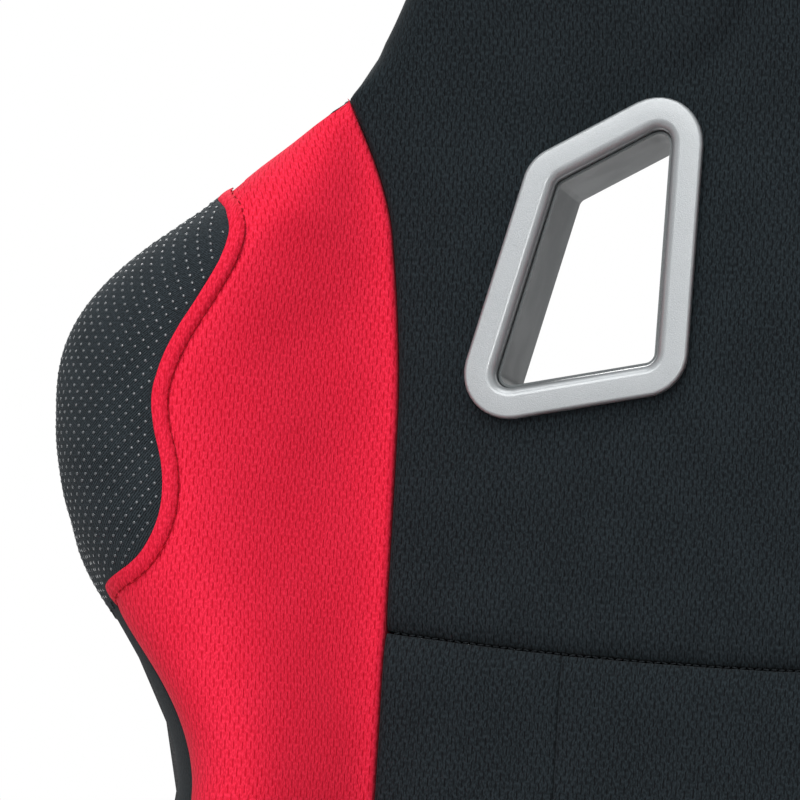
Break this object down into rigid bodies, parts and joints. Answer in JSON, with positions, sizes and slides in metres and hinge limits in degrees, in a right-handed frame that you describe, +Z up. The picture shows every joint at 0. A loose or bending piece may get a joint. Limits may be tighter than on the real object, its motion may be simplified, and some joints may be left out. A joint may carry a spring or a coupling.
{
  "type": "racing seat",
  "caption": "Reclining racing seat with side wings, shoulder harness slots, twin recliners and locking slide rails with floor bolt holes.",
  "frame": {"origin": "centre of the four floor bolt holes, on the floor plane", "axes": "+Z up, -Y the way the seat faces, +X to the right seen from the front (the left of the occupant)"},
  "size_m": [0.556, 0.7072, 0.8762],
  "materials": {
    "black_knit": "fine knitted upholstery",
    "red_knit": "fine knitted upholstery",
    "dotted_fabric": "knit with raised glossy dots",
    "silver_paint": "satin silver paint",
    "black_plastic": "grained",
    "frame_paint": "black powder coat",
    "zinc_steel": "zinc plated"
  },
  "bodies": {
    "rails": {"mount_feet": "zinc_steel", "lower_rail_left": "zinc_steel", "lower_rail_right": "zinc_steel", "lock_rack_left": "zinc_steel", "lock_rack_right": "zinc_steel"},
    "ball_cages": {"rail_balls_left": "zinc_steel", "rail_balls_right": "zinc_steel"},
    "seat_base": {"upper_rail_left": "zinc_steel", "upper_rail_right": "zinc_steel", "seat_bracket_left": "frame_paint", "seat_bracket_right": "frame_paint", "bracket_bolts": "zinc_steel", "front_cross_tube": "frame_paint", "rear_cross_tube": "frame_paint", "cushion_springs": "zinc_steel", "recliner_housing_left": "zinc_steel", "recliner_housing_right": "zinc_steel", "side_cover_left": "black_plastic", "side_cover_right": "black_plastic", "cushion_seat_pad": "black_knit", "cushion_thigh_pad": "black_knit", "cushion_bolster_left": "red_knit", "cushion_bolster_right": "red_knit", "cushion_skirt": "black_plastic", "slide_bar_pivots": "zinc_steel"},
    "backrest": {"recliner_gear_left": "zinc_steel", "recliner_gear_right": "zinc_steel", "back_bracket_left": "frame_paint", "back_bracket_right": "frame_paint", "back_hoop": "frame_paint", "back_cross_members": "frame_paint", "back_springs": "zinc_steel", "rear_cover": "black_plastic", "upper_back_pad": "black_knit", "head_pad": "black_knit", "lumbar_pad": "black_knit", "lumbar_side_pad_left": "black_knit", "lumbar_side_pad_right": "black_knit", "back_wing_left": "red_knit", "back_wing_right": "red_knit", "shoulder_patch_left": "dotted_fabric", "shoulder_patch_right": "dotted_fabric", "front_bezel_left": "silver_paint", "front_bezel_right": "silver_paint", "rear_bezel_left": "silver_paint", "rear_bezel_right": "silver_paint"},
    "slide_release": {"slide_release_bar": "frame_paint"},
    "recliner_release": {"release_rod": "zinc_steel", "recliner_lever_left": "black_plastic", "recliner_lever_right": "black_plastic"}
  },
  "joints": [
    {"name": "seat_slide", "type": "slide", "parent": "rails", "child": "seat_base", "axis": [0, 1, 0], "range_m": [-0.1, 0.1]},
    {"name": "ball_cage_roll", "type": "slide", "parent": "rails", "child": "ball_cages", "axis": [0, 1, 0], "range_m": [-0.05, 0.05]},
    {"name": "back_recline", "type": "hinge", "parent": "seat_base", "child": "backrest", "pos_m": [0, 0.16, 0.153], "axis": [1, 0, 0], "range_deg": [-45, 20]},
    {"name": "slide_release_lift", "type": "hinge", "parent": "seat_base", "child": "slide_release", "pos_m": [0, -0.03, 0.039], "axis": [-1, 0, 0], "range_deg": [0, 8], "stiffness_Nm_per_rad": 6, "springref_deg": -22.92},
    {"name": "recliner_lever_lift", "type": "hinge", "parent": "seat_base", "child": "recliner_release", "pos_m": [0, 0.16, 0.153], "axis": [-1, 0, 0], "range_deg": [0, 25], "stiffness_Nm_per_rad": 2, "springref_deg": -22.92}
  ],
  "couplings": [
    {"joint": "ball_cage_roll", "follows": "seat_slide", "ratio": 0.5}
  ]
}
